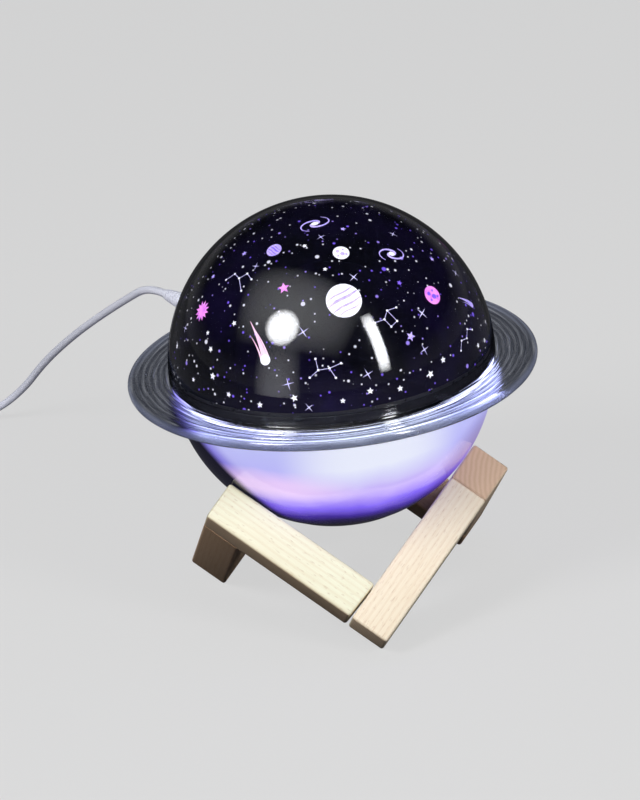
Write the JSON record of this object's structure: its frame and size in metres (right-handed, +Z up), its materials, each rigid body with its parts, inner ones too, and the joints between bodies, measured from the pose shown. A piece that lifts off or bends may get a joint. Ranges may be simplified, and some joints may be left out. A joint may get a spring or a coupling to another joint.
{
  "type": "star projector lamp",
  "caption": "Ringed-planet star projector lamp: clear dome over a turning printed film, grooved clear ring, glowing bowl, wooden zigzag cradle and USB lead.",
  "frame": {"origin": "on the table under the middle of the globe, where the wooden cradle's three corners stand", "axes": "+Z up along the globe's axis, -Y towards the front corner of the cradle, +X to the right seen from the front"},
  "size_m": [0.3149, 0.3986, 0.2014],
  "materials": {
    "pale_wood": "sanded and clear oiled, fine straight grain",
    "dowel_wood": "plain beech dowel",
    "magnet_plating": "nickel plated",
    "milky_bowl": "translucent white, lit from inside in violet",
    "clear_acrylic": "clear and polished",
    "lens_acrylic": "clear and polished",
    "printed_film": "black print with clear stars",
    "black_plastic": "fine moulded texture",
    "white_plastic": "soft white",
    "gear_nylon": "natural nylon",
    "zinc_steel": "zinc plated",
    "plug_metal": "nickel plated",
    "motor_can": "drawn steel can",
    "board_green": "solder mask",
    "led_resin": "phosphor resin",
    "switch_black": "moulded",
    "pad_rubber": "soft foam rubber",
    "wire_red": "soft insulation"
  },
  "bodies": {
    "left_stand": {"left_rail": "pale_wood", "left_leg": "pale_wood", "left_dowel": "dowel_wood", "left_magnets": "magnet_plating", "power_cord": "white_plastic", "cord_coil": "white_plastic", "usb_grip": "white_plastic", "usb_shell": "plug_metal"},
    "back_stand": {"back_rail": "pale_wood", "back_leg": "pale_wood", "back_dowel": "dowel_wood", "back_magnets": "magnet_plating"},
    "right_stand": {"right_rail": "pale_wood", "right_leg": "pale_wood", "right_dowel": "dowel_wood", "right_magnets": "magnet_plating"},
    "lamp": {"bowl_shell": "milky_bowl", "base_cap": "milky_bowl", "base_screws": "zinc_steel", "foot_pad": "pad_rubber", "control_board": "board_green", "control_chip": "switch_black", "tact_switches": "switch_black", "chassis_deck": "black_plastic", "deck_screws": "zinc_steel", "glow_board": "board_green", "glow_leds": "led_resin", "led_post": "black_plastic", "post_screws": "zinc_steel", "bearing_washer": "gear_nylon", "hub_clip": "zinc_steel", "star_board": "board_green", "star_led": "led_resin", "star_lens": "lens_acrylic", "star_lead": "wire_red", "motor_lead": "wire_red", "inlet_lead": "wire_red", "planet_ring": "clear_acrylic", "retaining_collar": "black_plastic", "collar_screws": "zinc_steel", "power_inlet": "black_plastic", "plug_barrel": "plug_metal", "plug_grip": "white_plastic", "strain_relief": "white_plastic", "turntable_motor": "motor_can", "motor_screws": "zinc_steel"},
    "dome_cover": {"clear_dome": "clear_acrylic"},
    "turntable": {"turntable_tray": "black_plastic", "turntable_gear": "gear_nylon", "film_dome": "printed_film"},
    "drive": {"drive_pinion": "gear_nylon", "motor_shaft": "zinc_steel"},
    "light_key": {"light_button": "white_plastic"},
    "colour_key": {"colour_button": "white_plastic"},
    "spin_key": {"spin_button": "white_plastic"}
  },
  "joints": [
    {"name": "back_stand_pull", "type": "slide", "parent": "left_stand", "child": "back_stand", "axis": [0.5, 0.866, 0], "range_m": [0, 0.03]},
    {"name": "right_stand_pull", "type": "slide", "parent": "left_stand", "child": "right_stand", "axis": [0.5, -0.866, 0], "range_m": [0, 0.03]},
    {"name": "lamp_lift", "type": "slide", "parent": "left_stand", "child": "lamp", "axis": [0, 0, 1], "range_m": [0, 0.1], "deforming": ["power_cord"]},
    {"name": "clear_dome_lift", "type": "slide", "parent": "lamp", "child": "dome_cover", "axis": [0, 0, 1], "range_m": [0, 0.1]},
    {"name": "turntable_spin", "type": "hinge", "parent": "lamp", "child": "turntable", "pos_m": [0, 0, 0.1196], "axis": [0, 0, 1], "continuous": true},
    {"name": "pinion_spin", "type": "hinge", "parent": "lamp", "child": "drive", "pos_m": [0.032, 0, 0.1196], "axis": [0, 0, 1], "continuous": true},
    {"name": "light_press", "type": "slide", "parent": "lamp", "child": "light_key", "axis": [0, 0, 1], "range_m": [0, 0.0008], "stiffness_N_per_m": 400},
    {"name": "colour_press", "type": "slide", "parent": "lamp", "child": "colour_key", "axis": [0, 0, 1], "range_m": [0, 0.0008], "stiffness_N_per_m": 400},
    {"name": "spin_press", "type": "slide", "parent": "lamp", "child": "spin_key", "axis": [0, 0, 1], "range_m": [0, 0.0008], "stiffness_N_per_m": 400}
  ],
  "couplings": [
    {"joint": "pinion_spin", "follows": "turntable_spin", "ratio": -4}
  ]
}
